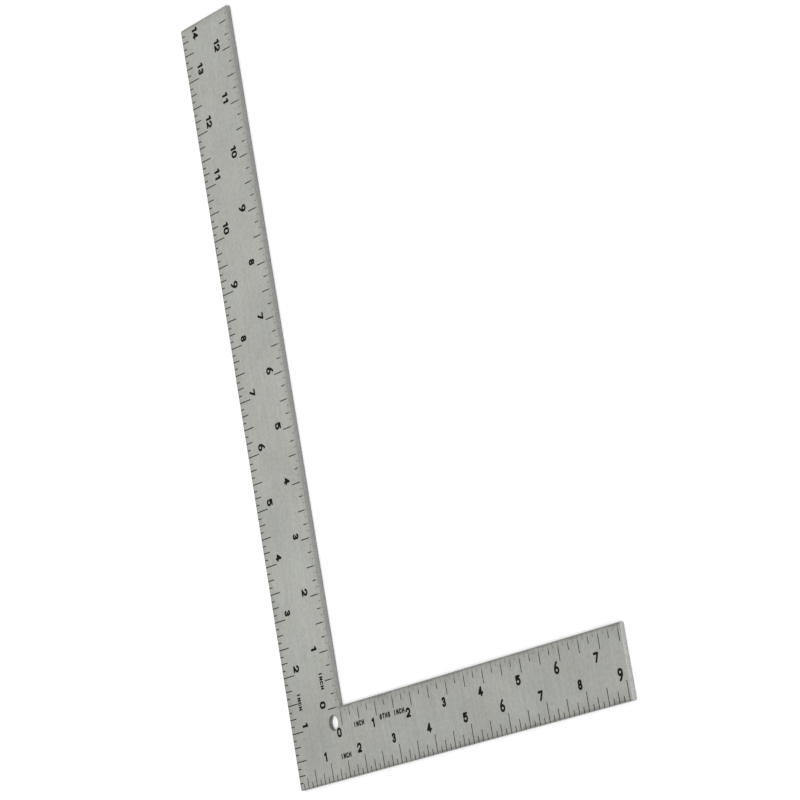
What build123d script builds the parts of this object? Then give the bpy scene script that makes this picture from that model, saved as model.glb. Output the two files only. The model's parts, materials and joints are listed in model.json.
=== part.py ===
from build123d import *
import os
from math import atan2, degrees, hypot

# Flat L-shaped steel square for leatherwork, in millimetres.
#
# The real tool is one stamped steel plate. Its scales are etched into the marked face and
# dark enamel is wiped into the etching, so the plate and the enamel of each scale are
# separate bodies here: the enamel sits in matching recesses in the plate.
#
# The square lies flat with its marked face up. X runs along the tongue (the short arm), Y
# along the blade (the long arm), Z out of the marked face. The origin is the centre of the
# bounding box at the back face. Everything is drawn with the outer corner at zero, and
# moved to that origin as it is written.

INCH = 25.4

# Plate
BLADE_LENGTH = 14.0 * INCH
BLADE_WIDTH = 1.5 * INCH
TONGUE_LENGTH = 9.075 * INCH
TONGUE_WIDTH = 1.25 * INCH
THICKNESS = 1.9
OUTER_CORNER_RADIUS = 0.8
INNER_CORNER_RADIUS = 0.5
EDGE_ROUND = 0.25
HOLE_DIAMETER = 6.6
HOLE_INSET = 0.25 * INCH
HOLE_CHAMFER = 0.15

# Etching and enamel
ETCH_DEPTH = 0.12
ENAMEL_DROP = 0.02
TOOL_CLEARANCE = 1.0

# Two lengths that differ by less than this are the same
SAME = 1e-3

# Graduations: line lengths from the edge, by the smallest fraction that the line marks
DIVISIONS = 8
LINE_WIDTH = 0.46
LINE_LENGTHS = {1: 0.335 * INCH, 2: 0.3 * INCH, 4: 0.195 * INCH, 8: 0.105 * INCH}
ZERO_LINE_GAP = 0.6

# Characters, drawn with a round pen. Pen and width are shares of a character's height, and
# pitch is the step from one character to the next.
NUMERAL_HEIGHT = 4.4
NUMERAL_PEN = 0.255
NUMERAL_WIDTH = 0.76
NUMERAL_PITCH = 0.117 * INCH
LABEL_HEIGHT = 2.5
LABEL_PEN = 0.27
LABEL_WIDTH = 0.71
LABEL_PITCH = 0.08 * INCH

# Numeral rows, measured from the outer edges, and how far a numeral stands back from its line
BLADE_OUTER_ROW = 0.425 * INCH
BLADE_INNER_ROW = 1.025 * INCH
TONGUE_OUTER_ROW = 0.462 * INCH
TONGUE_INNER_ROW = 0.81 * INCH
BLADE_NUMERAL_BACK = 0.1 * INCH
TONGUE_NUMERAL_BACK = 0.122 * INCH
LAST_NUMERAL_Y = 13.783 * INCH

# Small labels: text and the place of its last character
UNIT_TEXT = "INCH"
DIVISION_TEXT = "8THS INCH"
BLADE_OUTER_LABEL = (0.367 * INCH, 1.405 * INCH)
BLADE_INNER_LABEL = (1.095 * INCH, 1.65 * INCH)
TONGUE_OUTER_LABEL = (1.587 * INCH, 0.393 * INCH)
TONGUE_INNER_LABEL = (2.09 * INCH, 0.869 * INCH)
DIVISION_LABEL = (3.25 * INCH, 0.87 * INCH)

# Reading directions, as a turn about Z: along the tongue, and down the blade
ALONG_TONGUE = 0
DOWN_BLADE = -90

ORIGIN_SHIFT = Pos(-TONGUE_LENGTH / 2, -BLADE_LENGTH / 2, 0)


def plate_blank():
    """The plain plate: L outline, rounded edges and hanging hole, with no etching."""
    corners = [
        (0, 0),
        (TONGUE_LENGTH, 0),
        (TONGUE_LENGTH, TONGUE_WIDTH),
        (BLADE_WIDTH, TONGUE_WIDTH),
        (BLADE_WIDTH, BLADE_LENGTH),
        (0, BLADE_LENGTH),
    ]
    blank = extrude(make_face(Polyline(*corners, close=True)), THICKNESS)

    def is_inner(upright):
        place = upright.center()
        return hypot(place.X - BLADE_WIDTH, place.Y - TONGUE_WIDTH) < SAME

    uprights = blank.edges().filter_by(Axis.Z)
    blank = fillet([e for e in uprights if not is_inner(e)], OUTER_CORNER_RADIUS)
    blank = fillet([e for e in blank.edges().filter_by(Axis.Z) if is_inner(e)], INNER_CORNER_RADIUS)
    rims = blank.faces().filter_by(Axis.Z).edges()
    blank = fillet(rims, EDGE_ROUND)

    hole_place = Pos(BLADE_WIDTH - HOLE_INSET, TONGUE_WIDTH - HOLE_INSET, THICKNESS / 2)
    blank -= hole_place * Cylinder(HOLE_DIAMETER / 2, THICKNESS + 2 * TOOL_CLEARANCE)
    mouths = blank.edges().filter_by(GeomType.CIRCLE)
    mouths = [e for e in mouths if abs(e.radius - HOLE_DIAMETER / 2) < SAME]
    return chamfer(mouths, HOLE_CHAMFER)


def characters(height, pen_share, width_share):
    """Faces of all characters at one height, each centred on the sketch origin.

    The pen's path reaches side to the left and right, and top above and below. A bowl is a
    round part as wide as the character, and small is the radius of one half as tall.
    """
    pen = pen_share * height
    side = (width_share * height - pen) / 2
    top = (height - pen) / 2
    bowl = top - side
    small = top / 2

    def line(*points):
        """Round-ended strokes that join the points in turn."""
        strokes = []
        for (x0, y0), (x1, y1) in zip(points, points[1:]):
            turn = degrees(atan2(y1 - y0, x1 - x0))
            middle = Location(((x0 + x1) / 2, (y0 + y1) / 2, 0), (0, 0, turn))
            strokes.append(middle * SlotCenterToCenter(hypot(x1 - x0, y1 - y0), pen))
        return strokes

    def arc(x, y, radius, start, end):
        """A round-ended stroke along a circle, anticlockwise in degrees."""
        outer = CenterArc((x, y), radius + pen / 2, start, end - start)
        inner = CenterArc((x, y), radius - pen / 2, start, end - start)
        band = make_face([outer, Line(outer @ 1, inner @ 1), inner, Line(inner @ 0, outer @ 0)])
        tips = [Location((outer @ u + inner @ u) / 2) * Circle(pen / 2) for u in (0, 1)]
        return [band, *tips]

    def ring(x, y, radius):
        """A closed round stroke."""
        return [Pos(x, y) * (Circle(radius + pen / 2) - Circle(radius - pen / 2))]

    def turned(strokes):
        """The strokes turned half round."""
        return [Rot(0, 0, 180) * stroke for stroke in strokes]

    def oval():
        """An upright oval stroke, with straight sides."""
        outside = SlotOverall(height, 2 * side + pen, rotation=90)
        return [outside - SlotOverall(height - 2 * pen, 2 * side - pen, rotation=90)]

    six = ring(0, -bowl, side) + arc(2.6 * side, -bowl, 3.6 * side, 127, 180)
    strokes = {
        "0": oval(),
        "1": line((-0.5 * side, 0.62 * top), (0.35 * side, top), (0.35 * side, -top)),
        "2": arc(0, bowl, side, -38, 170)
        + line((0.79 * side, bowl - 0.62 * side), (-side, -top), (side, -top)),
        "3": arc(0, small, 0.95 * small, -90, 160) + arc(0, -small, small, -160, 90),
        "4": line((0.35 * side, -top), (0.35 * side, top), (-side, -0.45 * top), (1.1 * side, -0.45 * top)),
        "5": line((0.9 * side, top), (-0.8 * side, top), (-0.9 * side, 0.12 * top))
        + arc(0, -bowl, side, -155, 140),
        "6": six,
        "7": line((-side, top), (side, top), (-0.3 * side, -top)),
        "8": ring(0, 0.52 * top, 0.48 * top) + ring(0, -0.48 * top, 0.52 * top),
        "9": turned(six),
        "C": arc(0, bowl, side, 20, 180)
        + line((-side, bowl), (-side, -bowl))
        + arc(0, -bowl, side, 180, 340),
        "H": line((-side, top), (-side, -top))
        + line((side, top), (side, -top))
        + line((-side, 0), (side, 0)),
        "I": line((0, top), (0, -top)),
        "N": line((-side, -top), (-side, top), (side, -top), (side, top)),
        "S": arc(0, small, small, 20, 270) + arc(0, -small, small, -160, 90),
        "T": line((-side, top), (side, top)) + line((0, top), (0, -top)),
    }
    return {character: Sketch() + pieces for character, pieces in strokes.items()}


NUMERALS = characters(NUMERAL_HEIGHT, NUMERAL_PEN, NUMERAL_WIDTH)
SMALL_LETTERS = characters(LABEL_HEIGHT, LABEL_PEN, LABEL_WIDTH)


def text(letters, pitch, words, last_place, reading):
    """Faces of a row of characters, given the centre of the last one and the reading turn."""
    faces = []
    for steps_back, character in enumerate(reversed(words)):
        if character != " ":
            place = Location((*last_place, 0), (0, 0, reading)) * Pos(-steps_back * pitch, 0)
            faces.append(place * letters[character])
    return faces


def numeral(number, last_place, reading):
    return text(NUMERALS, NUMERAL_PITCH, str(number), last_place, reading)


def label(words, last_place, reading):
    return text(SMALL_LETTERS, LABEL_PITCH, words, last_place, reading)


def lines(zero, run, inward, first, last):
    """Faces of a scale's graduations, from its zero point on the edge, in eighths of an inch."""
    faces = []
    for eighth in range(first, last + 1):
        fraction = min(f for f in LINE_LENGTHS if eighth * f % DIVISIONS == 0)
        near = ZERO_LINE_GAP if eighth == 0 else -TOOL_CLEARANCE
        far = LINE_LENGTHS[fraction]
        along = eighth * INCH / DIVISIONS
        across = (near + far) / 2
        x = zero[0] + along * run[0] + across * inward[0]
        y = zero[1] + along * run[1] + across * inward[1]
        size = (LINE_WIDTH, far - near) if run[0] else (far - near, LINE_WIDTH)
        faces.append(Pos(x, y) * Rectangle(*size))
    return faces


def graduations():
    """The four scales' lines. The outer scales start at the outer corner, the inner at the inner."""
    outer_corner = (0, 0)
    inner_corner = (BLADE_WIDTH, TONGUE_WIDTH)

    def eighths(length):
        return int((length - LINE_WIDTH) * DIVISIONS / INCH)

    return {
        "blade_outer_graduations": lines(outer_corner, (0, 1), (1, 0), 1, eighths(BLADE_LENGTH)),
        "blade_inner_graduations": lines(
            inner_corner, (0, 1), (-1, 0), 0, eighths(BLADE_LENGTH - TONGUE_WIDTH)
        ),
        "tongue_outer_graduations": lines(outer_corner, (1, 0), (0, 1), 1, eighths(TONGUE_LENGTH)),
        "tongue_inner_graduations": lines(
            inner_corner, (1, 0), (0, -1), 0, eighths(TONGUE_LENGTH - BLADE_WIDTH)
        ),
    }


def numerals():
    """The inch numerals. Each one stands just back from the line that it names."""
    blade_outer = numeral(14, (BLADE_OUTER_ROW, LAST_NUMERAL_Y), DOWN_BLADE)
    for inch in range(1, 14):
        blade_outer += numeral(inch, (BLADE_OUTER_ROW, inch * INCH + BLADE_NUMERAL_BACK), DOWN_BLADE)
    blade_inner = []
    for inch in range(13):
        y = TONGUE_WIDTH + inch * INCH + BLADE_NUMERAL_BACK
        blade_inner += numeral(inch, (BLADE_INNER_ROW, y), DOWN_BLADE)
    tongue_outer = []
    for inch in range(1, 10):
        x = inch * INCH - TONGUE_NUMERAL_BACK
        tongue_outer += numeral(inch, (x, TONGUE_OUTER_ROW), ALONG_TONGUE)
    tongue_inner = []
    for inch in range(8):
        x = BLADE_WIDTH + inch * INCH - TONGUE_NUMERAL_BACK
        tongue_inner += numeral(inch, (x, TONGUE_INNER_ROW), ALONG_TONGUE)
    return {
        "blade_outer_numerals": blade_outer,
        "blade_inner_numerals": blade_inner,
        "tongue_outer_numerals": tongue_outer,
        "tongue_inner_numerals": tongue_inner,
    }


def labels():
    """A unit label for each scale, and one note of the divisions."""
    return {
        "blade_outer_unit_label": label(UNIT_TEXT, BLADE_OUTER_LABEL, DOWN_BLADE),
        "blade_inner_unit_label": label(UNIT_TEXT, BLADE_INNER_LABEL, DOWN_BLADE),
        "tongue_outer_unit_label": label(UNIT_TEXT, TONGUE_OUTER_LABEL, ALONG_TONGUE),
        "tongue_inner_unit_label": label(UNIT_TEXT, TONGUE_INNER_LABEL, ALONG_TONGUE),
        "tongue_division_label": label(DIVISION_TEXT, DIVISION_LABEL, ALONG_TONGUE),
    }


def raised(face, height):
    """A column that stands on the floor of the etching."""
    return extrude(Pos(0, 0, THICKNESS - ETCH_DEPTH) * face, height).solids()


def enamel(faces, blank):
    """The enamel in a group of recesses: just under the marked face, and inside the rounded edges."""
    fills = []
    for face in faces:
        for column in raised(face, ETCH_DEPTH - ENAMEL_DROP):
            fills += (column & blank).solids()
    return fills


def etched(blank, faces):
    """The plate with every recess cut into its marked face."""
    recesses = []
    for face in faces:
        recesses += raised(face, ETCH_DEPTH + TOOL_CLEARANCE)
    return blank - recesses


def write(node, solids):
    os.makedirs("parts", exist_ok=True)
    export_step(ORIGIN_SHIFT * Compound(children=solids), f"parts/{node}.step")


def main():
    blank = plate_blank()
    markings = {**graduations(), **numerals(), **labels()}
    for node, faces in markings.items():
        write(node, enamel(faces, blank))
    all_faces = [face for faces in markings.values() for face in faces]
    write("steel_plate", etched(blank, all_faces).solids())


main()
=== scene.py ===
import json
import math

import bpy
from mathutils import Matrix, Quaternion, Vector


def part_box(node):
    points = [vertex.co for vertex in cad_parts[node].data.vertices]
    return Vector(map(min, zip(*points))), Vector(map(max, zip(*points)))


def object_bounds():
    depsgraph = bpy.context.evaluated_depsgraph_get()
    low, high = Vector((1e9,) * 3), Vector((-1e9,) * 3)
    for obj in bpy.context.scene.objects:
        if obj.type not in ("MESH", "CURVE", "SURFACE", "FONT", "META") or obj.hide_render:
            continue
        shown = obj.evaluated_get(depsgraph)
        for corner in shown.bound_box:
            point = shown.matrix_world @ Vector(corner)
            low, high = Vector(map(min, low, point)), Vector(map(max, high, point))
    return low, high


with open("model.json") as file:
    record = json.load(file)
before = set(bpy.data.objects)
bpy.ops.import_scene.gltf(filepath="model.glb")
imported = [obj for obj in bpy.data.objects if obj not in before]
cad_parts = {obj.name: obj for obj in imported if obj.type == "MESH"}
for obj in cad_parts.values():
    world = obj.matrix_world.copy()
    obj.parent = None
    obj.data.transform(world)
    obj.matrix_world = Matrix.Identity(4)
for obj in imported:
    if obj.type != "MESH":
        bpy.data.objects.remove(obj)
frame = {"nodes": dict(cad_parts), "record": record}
cad_low, cad_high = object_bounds()

# Looks for a steel square ruler. The CAD nodes keep their meshes, and each gets a procedural
# material. All lengths are in metres, in the CAD frame: X along the tongue, Y along the blade,
# Z out of the marked face. Colours are linear.

MM = 0.001

# Camera: where it stands, seen from the middle of the object
CAMERA_AZIMUTH = 76.9
CAMERA_ELEVATION = 37.85
CAMERA_DISTANCE = 1.53
CAMERA_ROLL = -91.36
CAMERA_AIM = Vector((0.00043, -0.0268, 0.00095))
CAMERA_LENS = 160.75

# Floor
FLOOR_SIZE = 24.0
FLOOR_GAP = 0.2 * MM
FLOOR_COLOUR = (0.9, 0.9, 0.9, 1)
FLOOR_ROUGHNESS = 0.9
FLOOR_GLOSS = 0.1

# Light: a white sky that brightens towards SKY_KEY, from SKY_SPREAD on, and one soft lamp
SKY_LOW = 0.8
SKY_HIGH = 1.0
SKY_KEY = Vector((0.25, -0.2, 0.95))
SKY_SPREAD = 0.0
LAMP_PLACE = Vector((1.2, -1.0, 2.6))
LAMP_SIZE = 2.0
LAMP_POWER = 38

# Noise textures: the range that one mostly fills, how strong its fine detail is, and how many
# layers of detail it has where nothing else is said
NOISE_LOW = 0.3
NOISE_HIGH = 0.7
NOISE_ROUGHNESS = 0.58
NOISE_DETAIL = 2.0

# Steel colours. STEEL_COOL, STEEL_WARM and the tongue end's painted light multiply the colour that is
# under them. The tongue's end is painted brighter than the other cut edges, a painted light on its end
# face.
STEEL_COLOUR = (0.474, 0.478, 0.45, 1)
STEEL_COOL = (0.98, 1.0, 0.985, 1)
STEEL_WARM = (1.01, 0.995, 0.985, 1)
SCRATCH_COLOUR = (0.66, 0.66, 0.63, 1)
SCRATCH_DEPTH = 0.16
EDGE_COLOUR = (0.265, 0.267, 0.26, 1)
EDGE_WORN = (0.335, 0.335, 0.325, 1)
END_PAINTED_LIGHT = (1.5, 1.49, 1.48, 1)
END_REACH = 0.6 * MM

# Steel textures: size of a feature, how many times longer it is along X, Y and Z, noise detail,
# and how much it lightens and darkens the tone
GRAIN = (0.12 * MM, (1, 33, 1), 2.0, 0.065)
STREAKS = (0.7 * MM, (1, 50, 1), 3.0, 0.045)
TOOTH = (0.3 * MM, (1, 1, 1), 3.0, 0.035)
SPECKLE = (1.6 * MM, (1, 1, 1), 3.0, 0.055)
MOTTLE = (34 * MM, (1, 1, 1), 3.0, 0.045)
SHEAR_MARKS = (0.2 * MM, (1, 1, 14), 3.0, 0.14)
TINT_SIZE = 22 * MM
SMUDGE_SIZE = 9 * MM
SMUDGE_DETAIL = 4.0
HAIRLINES = (  # turn from the brushing in degrees, spacing, length
    (14, 0.45 * MM, 22 * MM),
    (-58, 0.5 * MM, 16 * MM),
    (81, 0.4 * MM, 28 * MM),
    (-23, 0.3 * MM, 9 * MM),
)
HAIRLINE_DETAIL = 1.0
HAIRLINE_START = 0.69
HAIRLINE_FULL = 0.73

# Steel finish
FACE_ROUGHNESS = (0.36, 0.45)
GRAIN_ROUGHNESS = 0.03
EDGE_ROUGHNESS = 0.1
STEEL_RELIEF = 0.006 * MM
SHEAR_RELIEF = 2.0
RELIEF_STRENGTH = 0.5

# A surface is face while its normal's Z is over FACE_UPRIGHT, and cut edge below EDGE_UPRIGHT
FACE_UPRIGHT = 0.99
EDGE_UPRIGHT = 0.7

# A painted shade darkens a rim beside every edge, within a broader band that is darker towards the edges
# where the graduations are, but neither at the tongue's end. Both are wider on the tongue.
BLADE_WIDTH = 38.1 * MM
TONGUE_WIDTH = 31.75 * MM
BAND_WIDTH = 5 * MM
BAND_SHADE = 0.89
RIM_START = 0.2 * MM
RIM_WIDTH = 1.0 * MM
RIM_WANDER = 0.25 * MM
RIM_WANDER_SIZE = 6 * MM
RIM_WANDER_DETAIL = 3.0
RIM_SHADE = 0.66
TONGUE_RIM = 1.5

# The tongue and heel are darker than the blade, up to this far from the outer corner
HEEL_SHADE = 0.9
HEEL_REACH = 75 * MM
HEEL_WANDER = 12 * MM
HEEL_WANDER_SIZE = 40 * MM

# Painted shade on the hanging hole's wall, which multiplies the steel's colour
HOLE_PAINTED_SHADE = (0.66, 0.65, 0.63, 1)
HOLE_PAINTED_SHADE_REACH = 0.5 * MM

# Enamel: colours where it is thick and where it is worn thin, and the share that is worn. Between
# two distances from the inner edges, RUBBED_START and RUBBED_END, it goes from rubbed off to whole.
NUMERAL_BLACK = (0.005, 0.005, 0.0045, 1)
NUMERAL_WORN = (0.022, 0.021, 0.019, 1)
NUMERAL_WEAR = 0.1
LINE_BLACK = (0.008, 0.008, 0.0075, 1)
LINE_WORN = (0.05, 0.05, 0.046, 1)
LINE_WEAR = 0.2
PATCH_SIZE = 1.1 * MM
PATCH_DETAIL = 3.0
PATCH_START = 0.72
PATCH_FULL = 0.92
SPECK_SIZE = 0.16 * MM
SPECK_START = 0.62
SPECK_FULL = 0.8
SPECK_DEPTH = 0.35
RUBBED_START = 0.5 * MM
RUBBED_END = 3.8 * MM
ENAMEL_ROUGHNESS = (0.75, 0.55)
ENAMEL_GLOSS = 0.06
ENAMEL_RELIEF = 0.01 * MM


def add(tree, kind, inputs=None, **settings):
    """A shader node, with its sockets set to values or linked to other sockets."""
    made = tree.nodes.new(kind)
    for name, value in settings.items():
        setattr(made, name, value)
    for socket, value in (inputs or {}).items():
        if isinstance(value, bpy.types.NodeSocket):
            tree.links.new(value, made.inputs[socket])
        else:
            made.inputs[socket].default_value = value
    return made


def new_material(name):
    material = bpy.data.materials.new(name)
    material.use_nodes = True
    material.node_tree.nodes.clear()
    return material, material.node_tree


def position(tree):
    """Object coordinates, in metres."""
    return add(tree, "ShaderNodeTexCoord").outputs["Object"]


def stretched(tree, longer, turn=0.0):
    """Object coordinates turned about Z, in which a texture is longer along X, Y and Z."""
    inputs = {
        "Vector": position(tree),
        "Rotation": (0, 0, math.radians(turn)),
        "Scale": [1 / times for times in longer],
    }
    return add(tree, "ShaderNodeMapping", inputs).outputs["Vector"]


def noise(tree, vector, size, detail=NOISE_DETAIL):
    """Noise with features about size across, from 0 to 1."""
    inputs = {"Vector": vector, "Scale": 1 / size, "Detail": detail, "Roughness": NOISE_ROUGHNESS}
    return add(tree, "ShaderNodeTexNoise", inputs).outputs["Fac"]


def ramp(tree, value, low, high, to_low=0.0, to_high=1.0):
    """A value's range from low to high, smoothly turned into another range."""
    inputs = {"Value": value, "From Min": low, "From Max": high, "To Min": to_low, "To Max": to_high}
    return add(tree, "ShaderNodeMapRange", inputs, interpolation_type="SMOOTHSTEP").outputs["Result"]


def spread(tree, texture, to_low=0.0, to_high=1.0):
    """A noise texture spread over a whole range."""
    return ramp(tree, texture, NOISE_LOW, NOISE_HIGH, to_low, to_high)


def math_node(tree, operation, first, second):
    return add(tree, "ShaderNodeMath", {0: first, 1: second}, operation=operation).outputs[0]


def total(tree, *values):
    result = values[0]
    for value in values[1:]:
        result = math_node(tree, "ADD", result, value)
    return result


def product(tree, *values):
    result = values[0]
    for value in values[1:]:
        result = math_node(tree, "MULTIPLY", result, value)
    return result


def mix_colour(tree, share, first, second, blend="MIX"):
    made = add(tree, "ShaderNodeMix", data_type="RGBA", blend_type=blend)
    colours = [s for s in made.inputs if s.type == "RGBA"]
    for socket, value in zip([made.inputs[0], *colours], (share, first, second)):
        if isinstance(value, bpy.types.NodeSocket):
            tree.links.new(value, socket)
        else:
            socket.default_value = value
    return [s for s in made.outputs if s.type == "RGBA"][0]


def grey(tree, value):
    return add(tree, "ShaderNodeCombineColor", {0: value, 1: value, 2: value}).outputs["Color"]


def tint(tree, colour, *tones):
    """A colour multiplied by others."""
    for tone in tones:
        colour = mix_colour(tree, 1.0, colour, tone, "MULTIPLY")
    return colour


def bump(tree, height, depth):
    inputs = {"Height": height, "Strength": RELIEF_STRENGTH, "Distance": depth}
    return add(tree, "ShaderNodeBump", inputs).outputs["Normal"]


def finish_material(tree, inputs):
    """A Principled shader with these inputs, as the material's surface."""
    shader = add(tree, "ShaderNodeBsdfPrincipled", inputs)
    add(tree, "ShaderNodeOutputMaterial", {"Surface": shader.outputs["BSDF"]})


def depth_in(tree, x, y, low, high):
    """How far inside a rectangle a point lies."""
    nearest = math_node(tree, "SUBTRACT", x, low[0])
    for side in (
        math_node(tree, "SUBTRACT", high[0], x),
        math_node(tree, "SUBTRACT", y, low[1]),
        math_node(tree, "SUBTRACT", high[1], y),
    ):
        nearest = math_node(tree, "MINIMUM", nearest, side)
    return nearest


def rim_shade(tree):
    """The face's painted shade beside the outline: darkest on the edge, and 1 past the band."""
    split = add(tree, "ShaderNodeSeparateXYZ", {0: position(tree)})
    x, y = split.outputs["X"], split.outputs["Y"]
    low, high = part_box("steel_plate")
    past_end = high.x + TONGUE_RIM * BAND_WIDTH
    blade = depth_in(tree, x, y, low, (low.x + BLADE_WIDTH, high.y))
    tongue = depth_in(tree, x, y, low, (past_end, low.y + TONGUE_WIDTH))
    tongue = math_node(tree, "DIVIDE", tongue, TONGUE_RIM)
    depth = math_node(tree, "MAXIMUM", blade, tongue)
    wander = noise(tree, position(tree), RIM_WANDER_SIZE, RIM_WANDER_DETAIL)
    wander = spread(tree, wander, -RIM_WANDER, RIM_WANDER)
    rim = ramp(tree, total(tree, depth, wander), RIM_START, RIM_WIDTH, RIM_SHADE, 1.0)
    return product(tree, rim, ramp(tree, depth, 0.0, BAND_WIDTH, BAND_SHADE, 1.0))


def heel_shade(tree):
    """The shade of the tongue and heel, and 1 up the blade."""
    y = add(tree, "ShaderNodeSeparateXYZ", {0: position(tree)}).outputs["Y"]
    low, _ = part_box("steel_plate")
    wander = spread(tree, noise(tree, position(tree), HEEL_WANDER_SIZE), -HEEL_WANDER, HEEL_WANDER)
    return ramp(tree, total(tree, y, wander), low.y + TONGUE_WIDTH, low.y + HEEL_REACH, HEEL_SHADE, 1.0)


def hole_painted_shade(tree):
    """1 on the hanging hole's wall, where shade is painted, and 0 past its lip."""
    hole = next(m for m in frame["record"]["mounts"] if m["name"] == "hang_hole")
    x, y, _ = hole["pos_m"]
    radius = hole["dims"]["r_mm"] * MM
    flat = {0: position(tree), 1: (1, 1, 0)}
    flat = add(tree, "ShaderNodeVectorMath", flat, operation="MULTIPLY").outputs["Vector"]
    gap = {0: flat, 1: (x, y, 0)}
    gap = add(tree, "ShaderNodeVectorMath", gap, operation="DISTANCE").outputs["Value"]
    return ramp(tree, gap, radius + HOLE_PAINTED_SHADE_REACH, radius)


def tongue_end(tree):
    """1 on the tongue's end face, where light is painted, and 0 elsewhere."""
    x = add(tree, "ShaderNodeSeparateXYZ", {0: position(tree)}).outputs["X"]
    _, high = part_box("steel_plate")
    return ramp(tree, x, high.x - END_REACH, high.x)


def cut_edge(tree):
    """1 on the cut edges and 0 on the flat faces."""
    normal = add(tree, "ShaderNodeTexCoord").outputs["Normal"]
    upright = add(tree, "ShaderNodeSeparateXYZ", {0: normal}).outputs["Z"]
    return ramp(tree, math_node(tree, "ABSOLUTE", upright, 0.0), FACE_UPRIGHT, EDGE_UPRIGHT)


def hairline_scratches(tree):
    """Thin straight scratches in a few directions: 1 on a scratch, 0 elsewhere."""
    scratches = []
    for turn, spacing, length in HAIRLINES:
        along = stretched(tree, (1, length / spacing, 1), turn)
        streaks = noise(tree, along, spacing, HAIRLINE_DETAIL)
        scratches.append(ramp(tree, streaks, HAIRLINE_START, HAIRLINE_FULL))
    return total(tree, *scratches)


def steel_material():
    """Satin steel: brushed grain, soft mottling, hairline scratches, painted shade in dark rims, and cut
    edges, with painted shade on the hole's wall and painted light on the tongue's end.
    """
    material, tree = new_material("satin_steel")
    textures = {}
    tones = {}
    for layer in (GRAIN, STREAKS, TOOTH, SPECKLE, MOTTLE, SHEAR_MARKS):
        size, longer, detail, reach = layer
        textures[layer] = noise(tree, stretched(tree, longer), size, detail)
        tones[layer] = spread(tree, textures[layer], -reach, reach)
    sheared = math_node(tree, "ADD", tones.pop(SHEAR_MARKS), 1.0)
    hairlines = hairline_scratches(tree)
    edge = cut_edge(tree)

    shade = math_node(tree, "ADD", total(tree, *tones.values()), 1.0)
    # Painted shade: the dark rims beside the edges and the darker band near them multiply the tone.
    shade = product(tree, shade, rim_shade(tree), heel_shade(tree))
    warmth = spread(tree, noise(tree, position(tree), TINT_SIZE))
    face = tint(tree, STEEL_COLOUR, mix_colour(tree, warmth, STEEL_COOL, STEEL_WARM), grey(tree, shade))
    face = mix_colour(tree, product(tree, hairlines, SCRATCH_DEPTH), face, SCRATCH_COLOUR)
    cut = mix_colour(tree, spread(tree, textures[TOOTH]), EDGE_COLOUR, EDGE_WORN)
    # Painted light: the tongue's end face is painted brighter than the other cut edges.
    cut = mix_colour(tree, tongue_end(tree), cut, tint(tree, cut, END_PAINTED_LIGHT))
    cut = tint(tree, cut, grey(tree, sheared))
    colour = mix_colour(tree, edge, face, cut)
    # Painted shade darkens the hanging hole's wall.
    colour = mix_colour(tree, hole_painted_shade(tree), colour, tint(tree, colour, HOLE_PAINTED_SHADE))

    roughness = total(
        tree,
        spread(tree, noise(tree, position(tree), SMUDGE_SIZE, SMUDGE_DETAIL), *FACE_ROUGHNESS),
        product(tree, edge, EDGE_ROUGHNESS),
        spread(tree, textures[GRAIN], -GRAIN_ROUGHNESS, GRAIN_ROUGHNESS),
    )
    relief = total(
        tree,
        textures[GRAIN],
        textures[TOOTH],
        product(tree, hairlines, -1.0),
        product(tree, textures[SHEAR_MARKS], edge, SHEAR_RELIEF),
    )
    inputs = {
        "Base Color": colour,
        "Metallic": 1.0,
        "Roughness": roughness,
        "Normal": bump(tree, relief, STEEL_RELIEF),
    }
    finish_material(tree, inputs)
    return material


def rubbed_share(tree):
    """1 beside the inner edges, where the enamel is rubbed off and steel shows, and 0 further in."""
    split = add(tree, "ShaderNodeSeparateXYZ", {0: position(tree)})
    low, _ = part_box("steel_plate")
    blade = math_node(tree, "SUBTRACT", low.x + BLADE_WIDTH, split.outputs["X"])
    tongue = math_node(tree, "SUBTRACT", low.y + TONGUE_WIDTH, split.outputs["Y"])
    depth = math_node(tree, "MAXIMUM", blade, tongue)
    return ramp(tree, depth, RUBBED_START, RUBBED_END, 1.0, 0.0)


def enamel_material(name, fresh, worn, wear):
    """Matt enamel wiped into an etched mark. wear is the share of it that is worn thin."""
    material, tree = new_material(name)
    patches = noise(tree, position(tree), PATCH_SIZE, PATCH_DETAIL)
    specks = noise(tree, position(tree), SPECK_SIZE)
    thin = total(
        tree,
        ramp(tree, patches, PATCH_START - wear, PATCH_FULL - wear),
        ramp(tree, specks, SPECK_START, SPECK_FULL, 0.0, SPECK_DEPTH),
    )
    rubbed = rubbed_share(tree)
    # The bare steel carries the same painted shade beside the edges as the face.
    bare = tint(tree, STEEL_COLOUR, grey(tree, product(tree, rim_shade(tree), heel_shade(tree))))
    inputs = {
        "Base Color": mix_colour(tree, rubbed, mix_colour(tree, thin, fresh, worn), bare),
        "Metallic": rubbed,
        "Roughness": spread(tree, patches, *ENAMEL_ROUGHNESS),
        "Specular IOR Level": ENAMEL_GLOSS,
        "Normal": bump(tree, specks, ENAMEL_RELIEF),
    }
    finish_material(tree, inputs)
    return material


def dress(name, material):
    """Gives a CAD node its material."""
    piece = frame["nodes"][name]
    piece.data.materials.clear()
    piece.data.materials.append(material)


def dress_all():
    steel = steel_material()
    numeral_enamel = enamel_material("numeral_enamel", NUMERAL_BLACK, NUMERAL_WORN, NUMERAL_WEAR)
    line_enamel = enamel_material("line_enamel", LINE_BLACK, LINE_WORN, LINE_WEAR)
    for name in sorted(frame["nodes"]):
        if name == "steel_plate":
            dress(name, steel)
        elif name.endswith("graduations"):
            dress(name, line_enamel)
        else:
            dress(name, numeral_enamel)


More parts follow.
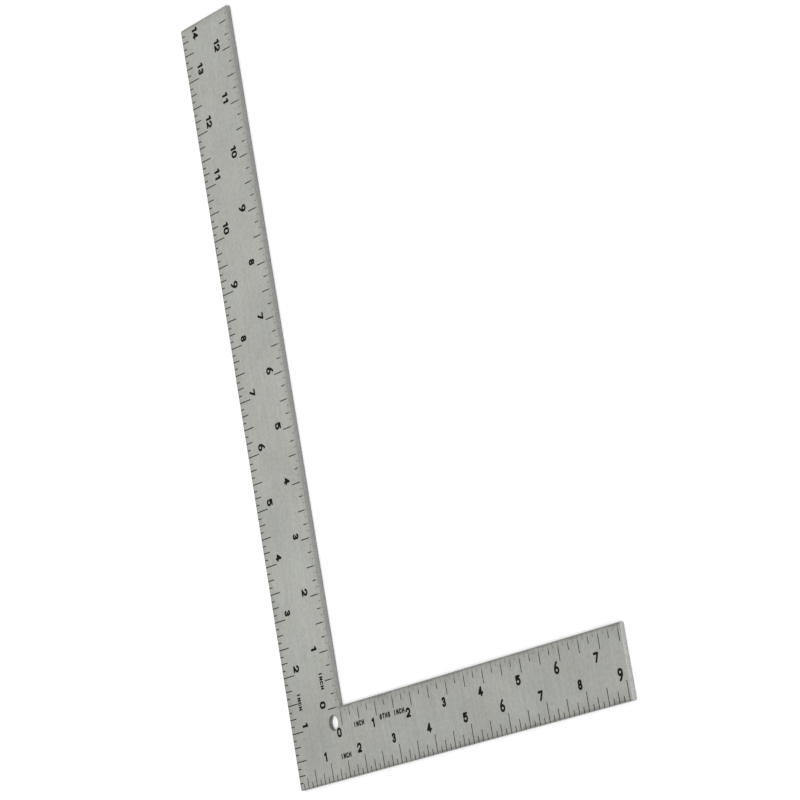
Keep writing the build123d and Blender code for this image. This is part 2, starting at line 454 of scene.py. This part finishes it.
def show(thing, name):
    """Links new mesh, lamp or camera data into the scene, as an object."""
    made = bpy.data.objects.new(name, thing)
    bpy.context.scene.collection.objects.link(made)
    return made


def aim(thing, direction, roll=0.0):
    """Points a lamp or camera along a direction."""
    thing.rotation_mode = "QUATERNION"
    thing.rotation_quaternion = direction.to_track_quat("-Z", "Y") @ Quaternion((0, 0, 1), roll)


def make_floor():
    """A plain pale floor, which isn't part of the object."""
    half = FLOOR_SIZE / 2
    corners = [(-half, -half), (half, -half), (half, half), (-half, half)]
    mesh = bpy.data.meshes.new("floor")
    mesh.from_pydata([(x, y, cad_low.z - FLOOR_GAP) for x, y in corners], [], [(0, 1, 2, 3)])
    material, tree = new_material("pale_floor")
    inputs = {
        "Base Color": FLOOR_COLOUR,
        "Roughness": FLOOR_ROUGHNESS,
        "Specular IOR Level": FLOOR_GLOSS,
    }
    finish_material(tree, inputs)
    mesh.materials.append(material)
    show(mesh, "floor")


def make_sky():
    """A soft white studio: evenly lit all round, and brighter above and to one side."""
    world = bpy.data.worlds.new("studio")
    bpy.context.scene.world = world
    world.use_nodes = True
    tree = world.node_tree
    tree.nodes.clear()
    towards_key = {0: add(tree, "ShaderNodeTexCoord").outputs["Generated"], 1: SKY_KEY.normalized()}
    towards_key = add(tree, "ShaderNodeVectorMath", towards_key, operation="DOT_PRODUCT").outputs["Value"]
    strength = ramp(tree, towards_key, SKY_SPREAD, 1.0, SKY_LOW, SKY_HIGH)
    background = add(tree, "ShaderNodeBackground", {"Color": (1, 1, 1, 1), "Strength": strength})
    add(tree, "ShaderNodeOutputWorld", {"Surface": background.outputs["Background"]})


def make_lamp():
    """A square soft lamp that faces the object."""
    lamp = bpy.data.lights.new("lamp", "AREA")
    lamp.shape = "SQUARE"
    lamp.size = LAMP_SIZE
    lamp.energy = LAMP_POWER
    light = show(lamp, "lamp")
    light.location = LAMP_PLACE
    aim(light, -LAMP_PLACE)


def make_camera():
    lens = bpy.data.cameras.new("camera")
    lens.lens = CAMERA_LENS
    camera = show(lens, "camera")
    azimuth = math.radians(CAMERA_AZIMUTH)
    elevation = math.radians(CAMERA_ELEVATION)
    level = Vector((math.sin(azimuth), -math.cos(azimuth), 0))
    back = level * math.cos(elevation) + Vector((0, 0, math.sin(elevation)))
    camera.location = (cad_low + cad_high) / 2 + CAMERA_AIM + back * CAMERA_DISTANCE
    aim(camera, -back, math.radians(CAMERA_ROLL))
    bpy.context.scene.camera = camera


bpy.context.scene.view_settings.view_transform = "Standard"
dress_all()
make_floor()
make_sky()
make_lamp()
make_camera()
